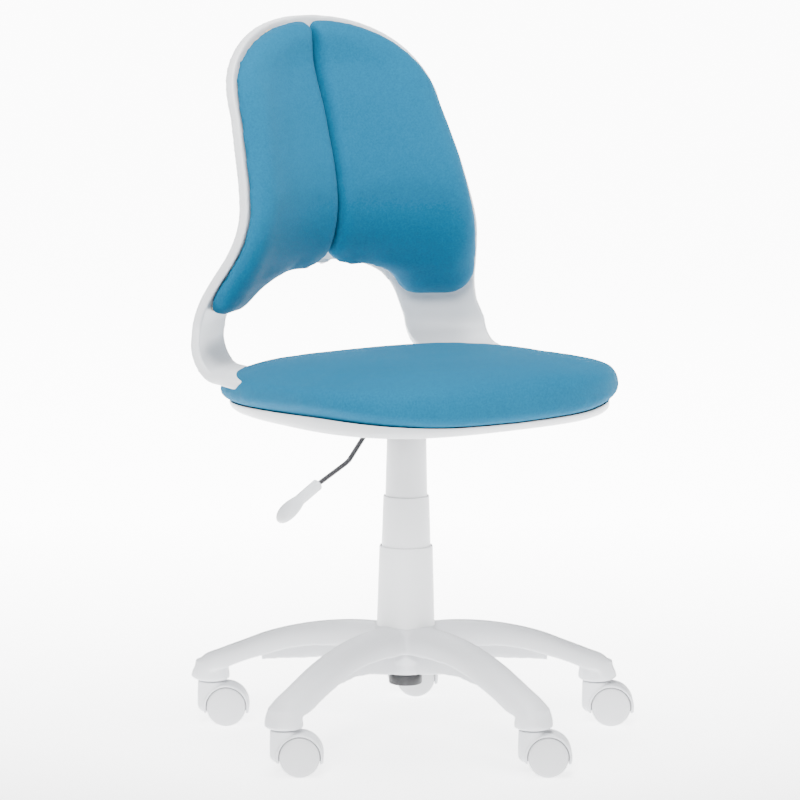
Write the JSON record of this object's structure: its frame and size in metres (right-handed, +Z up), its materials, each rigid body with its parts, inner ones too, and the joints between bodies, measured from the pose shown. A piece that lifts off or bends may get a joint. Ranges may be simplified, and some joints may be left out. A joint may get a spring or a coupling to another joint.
{
  "type": "swivel chair",
  "caption": "Small desk swivel chair: castered star base, telescoping covers over a gas lift, domed fabric seat on a white shell, arched white back with split pads.",
  "frame": {"origin": "Bottom centre of the bounding box, on the floor. The column axis stands a little to one side of it, at x -0.0116, y 0.0329.", "axes": "+Z up; the chair faces -Y; +X is the sitter's left, and the height lever is on the -X side"},
  "size_m": [0.5454, 0.5158, 0.8626],
  "materials": {
    "white_plastic": "satin moulded white nylon with a fine spark-eroded grain",
    "cover_plastic": "satin white polypropylene, faint vertical drawing marks",
    "wheel_plastic": "hard white nylon tread, slightly glossier than the hoods",
    "blue_fabric": "tight plain-weave polyester upholstery, sky blue",
    "black_steel": "black powder coat",
    "black_plastic": "moulded black, matte",
    "steel": "bright zinc-plated steel",
    "bumper_rubber": "matte black rubber",
    "plywood": "raw birch plywood"
  },
  "bodies": {
    "base": {"star_base": "white_plastic", "column_tube": "black_steel", "guide_sleeve": "black_plastic", "bearing_race_lower": "steel", "ball_cage": "steel", "rubber_bumper": "bumper_rubber", "column_end_cap": "black_plastic", "lower_cover": "cover_plastic"},
    "rotor": {"piston_rod": "steel", "bearing_race_upper": "steel", "retaining_clip": "steel"},
    "seat": {"gas_cylinder": "black_steel", "upper_cover": "cover_plastic", "seat_plate": "black_steel", "seat_shell": "white_plastic", "seat_board": "plywood", "seat_cushion": "blue_fabric", "seat_bolt_1": "steel", "seat_bolt_2": "steel", "seat_bolt_3": "steel", "seat_bolt_4": "steel", "back_frame": "white_plastic", "back_pad_left": "blue_fabric", "back_pad_right": "blue_fabric", "pad_board_left": "plywood", "pad_board_right": "plywood", "back_screw_1": "steel", "back_screw_2": "steel", "back_screw_3": "steel", "back_screw_4": "steel"},
    "middle_cover": {"middle_cover": "cover_plastic"},
    "lever": {"lever_rod": "black_steel", "lever_paddle": "white_plastic"},
    "button": {"release_button": "black_plastic"},
    "caster_1": {"caster_hood_1": "white_plastic", "caster_stem_1": "steel", "caster_axle_1": "steel"},
    "wheel_1_a": {"caster_wheel_1_a": "wheel_plastic"},
    "wheel_1_b": {"caster_wheel_1_b": "wheel_plastic"},
    "caster_2": {"caster_hood_2": "white_plastic", "caster_stem_2": "steel", "caster_axle_2": "steel"},
    "wheel_2_a": {"caster_wheel_2_a": "wheel_plastic"},
    "wheel_2_b": {"caster_wheel_2_b": "wheel_plastic"},
    "caster_3": {"caster_hood_3": "white_plastic", "caster_stem_3": "steel", "caster_axle_3": "steel"},
    "wheel_3_a": {"caster_wheel_3_a": "wheel_plastic"},
    "wheel_3_b": {"caster_wheel_3_b": "wheel_plastic"},
    "caster_4": {"caster_hood_4": "white_plastic", "caster_stem_4": "steel", "caster_axle_4": "steel"},
    "wheel_4_a": {"caster_wheel_4_a": "wheel_plastic"},
    "wheel_4_b": {"caster_wheel_4_b": "wheel_plastic"},
    "caster_5": {"caster_hood_5": "white_plastic", "caster_stem_5": "steel", "caster_axle_5": "steel"},
    "wheel_5_a": {"caster_wheel_5_a": "wheel_plastic"},
    "wheel_5_b": {"caster_wheel_5_b": "wheel_plastic"}
  },
  "joints": [
    {"name": "seat_swivel", "type": "hinge", "parent": "base", "child": "rotor", "pos_m": [-0.01156, 0.03292, 0.3415], "axis": [0, 0, 1], "continuous": true},
    {"name": "seat_height", "type": "slide", "parent": "rotor", "child": "seat", "axis": [0, 0, 1], "range_m": [-0.11, 0]},
    {"name": "cover_slide", "type": "slide", "parent": "base", "child": "middle_cover", "axis": [0, 0, 1], "range_m": [-0.055, 0]},
    {"name": "lever_pivot", "type": "hinge", "parent": "seat", "child": "lever", "pos_m": [-0.06156, 0.03292, 0.392], "axis": [0, 1, 0], "range_deg": [0, 4], "stiffness_Nm_per_rad": 0.8},
    {"name": "button_press", "type": "slide", "parent": "seat", "child": "button", "axis": [0, 0, 1], "range_m": [-0.004, 0]},
    {"name": "caster_swivel_1", "type": "hinge", "parent": "base", "child": "caster_1", "pos_m": [-0.01156, -0.21508, 0.0515], "axis": [0, 0, 1], "continuous": true},
    {"name": "wheel_roll_1_a", "type": "hinge", "parent": "caster_1", "child": "wheel_1_a", "pos_m": [0.00282, -0.22591, 0.024], "axis": [0.6018, 0.7986, 0], "continuous": true},
    {"name": "wheel_roll_1_b", "type": "hinge", "parent": "caster_1", "child": "wheel_1_b", "pos_m": [0.00282, -0.22591, 0.024], "axis": [0.6018, 0.7986, 0], "continuous": true},
    {"name": "caster_swivel_2", "type": "hinge", "parent": "base", "child": "caster_2", "pos_m": [0.22431, -0.04371, 0.0515], "axis": [0, 0, 1], "continuous": true},
    {"name": "wheel_roll_2_a", "type": "hinge", "parent": "caster_2", "child": "wheel_2_a", "pos_m": [0.23868, -0.05455, 0.024], "axis": [0.6018, 0.7986, 0], "continuous": true},
    {"name": "wheel_roll_2_b", "type": "hinge", "parent": "caster_2", "child": "wheel_2_b", "pos_m": [0.23868, -0.05455, 0.024], "axis": [0.6018, 0.7986, 0], "continuous": true},
    {"name": "caster_swivel_3", "type": "hinge", "parent": "base", "child": "caster_3", "pos_m": [0.13421, 0.23356, 0.0515], "axis": [0, 0, 1], "continuous": true},
    {"name": "wheel_roll_3_a", "type": "hinge", "parent": "caster_3", "child": "wheel_3_a", "pos_m": [0.14859, 0.22273, 0.024], "axis": [0.6018, 0.7986, 0], "continuous": true},
    {"name": "wheel_roll_3_b", "type": "hinge", "parent": "caster_3", "child": "wheel_3_b", "pos_m": [0.14859, 0.22273, 0.024], "axis": [0.6018, 0.7986, 0], "continuous": true},
    {"name": "caster_swivel_4", "type": "hinge", "parent": "base", "child": "caster_4", "pos_m": [-0.15733, 0.23356, 0.0515], "axis": [0, 0, 1], "continuous": true},
    {"name": "wheel_roll_4_a", "type": "hinge", "parent": "caster_4", "child": "wheel_4_a", "pos_m": [-0.14295, 0.22273, 0.024], "axis": [0.6018, 0.7986, 0], "continuous": true},
    {"name": "wheel_roll_4_b", "type": "hinge", "parent": "caster_4", "child": "wheel_4_b", "pos_m": [-0.14295, 0.22273, 0.024], "axis": [0.6018, 0.7986, 0], "continuous": true},
    {"name": "caster_swivel_5", "type": "hinge", "parent": "base", "child": "caster_5", "pos_m": [-0.24742, -0.04371, 0.0515], "axis": [0, 0, 1], "continuous": true},
    {"name": "wheel_roll_5_a", "type": "hinge", "parent": "caster_5", "child": "wheel_5_a", "pos_m": [-0.23304, -0.05455, 0.024], "axis": [0.6018, 0.7986, 0], "continuous": true},
    {"name": "wheel_roll_5_b", "type": "hinge", "parent": "caster_5", "child": "wheel_5_b", "pos_m": [-0.23304, -0.05455, 0.024], "axis": [0.6018, 0.7986, 0], "continuous": true}
  ],
  "couplings": [
    {"joint": "cover_slide", "follows": "seat_height", "ratio": 0.5},
    {"joint": "button_press", "follows": "lever_pivot", "m_per_rad": -0.056}
  ]
}
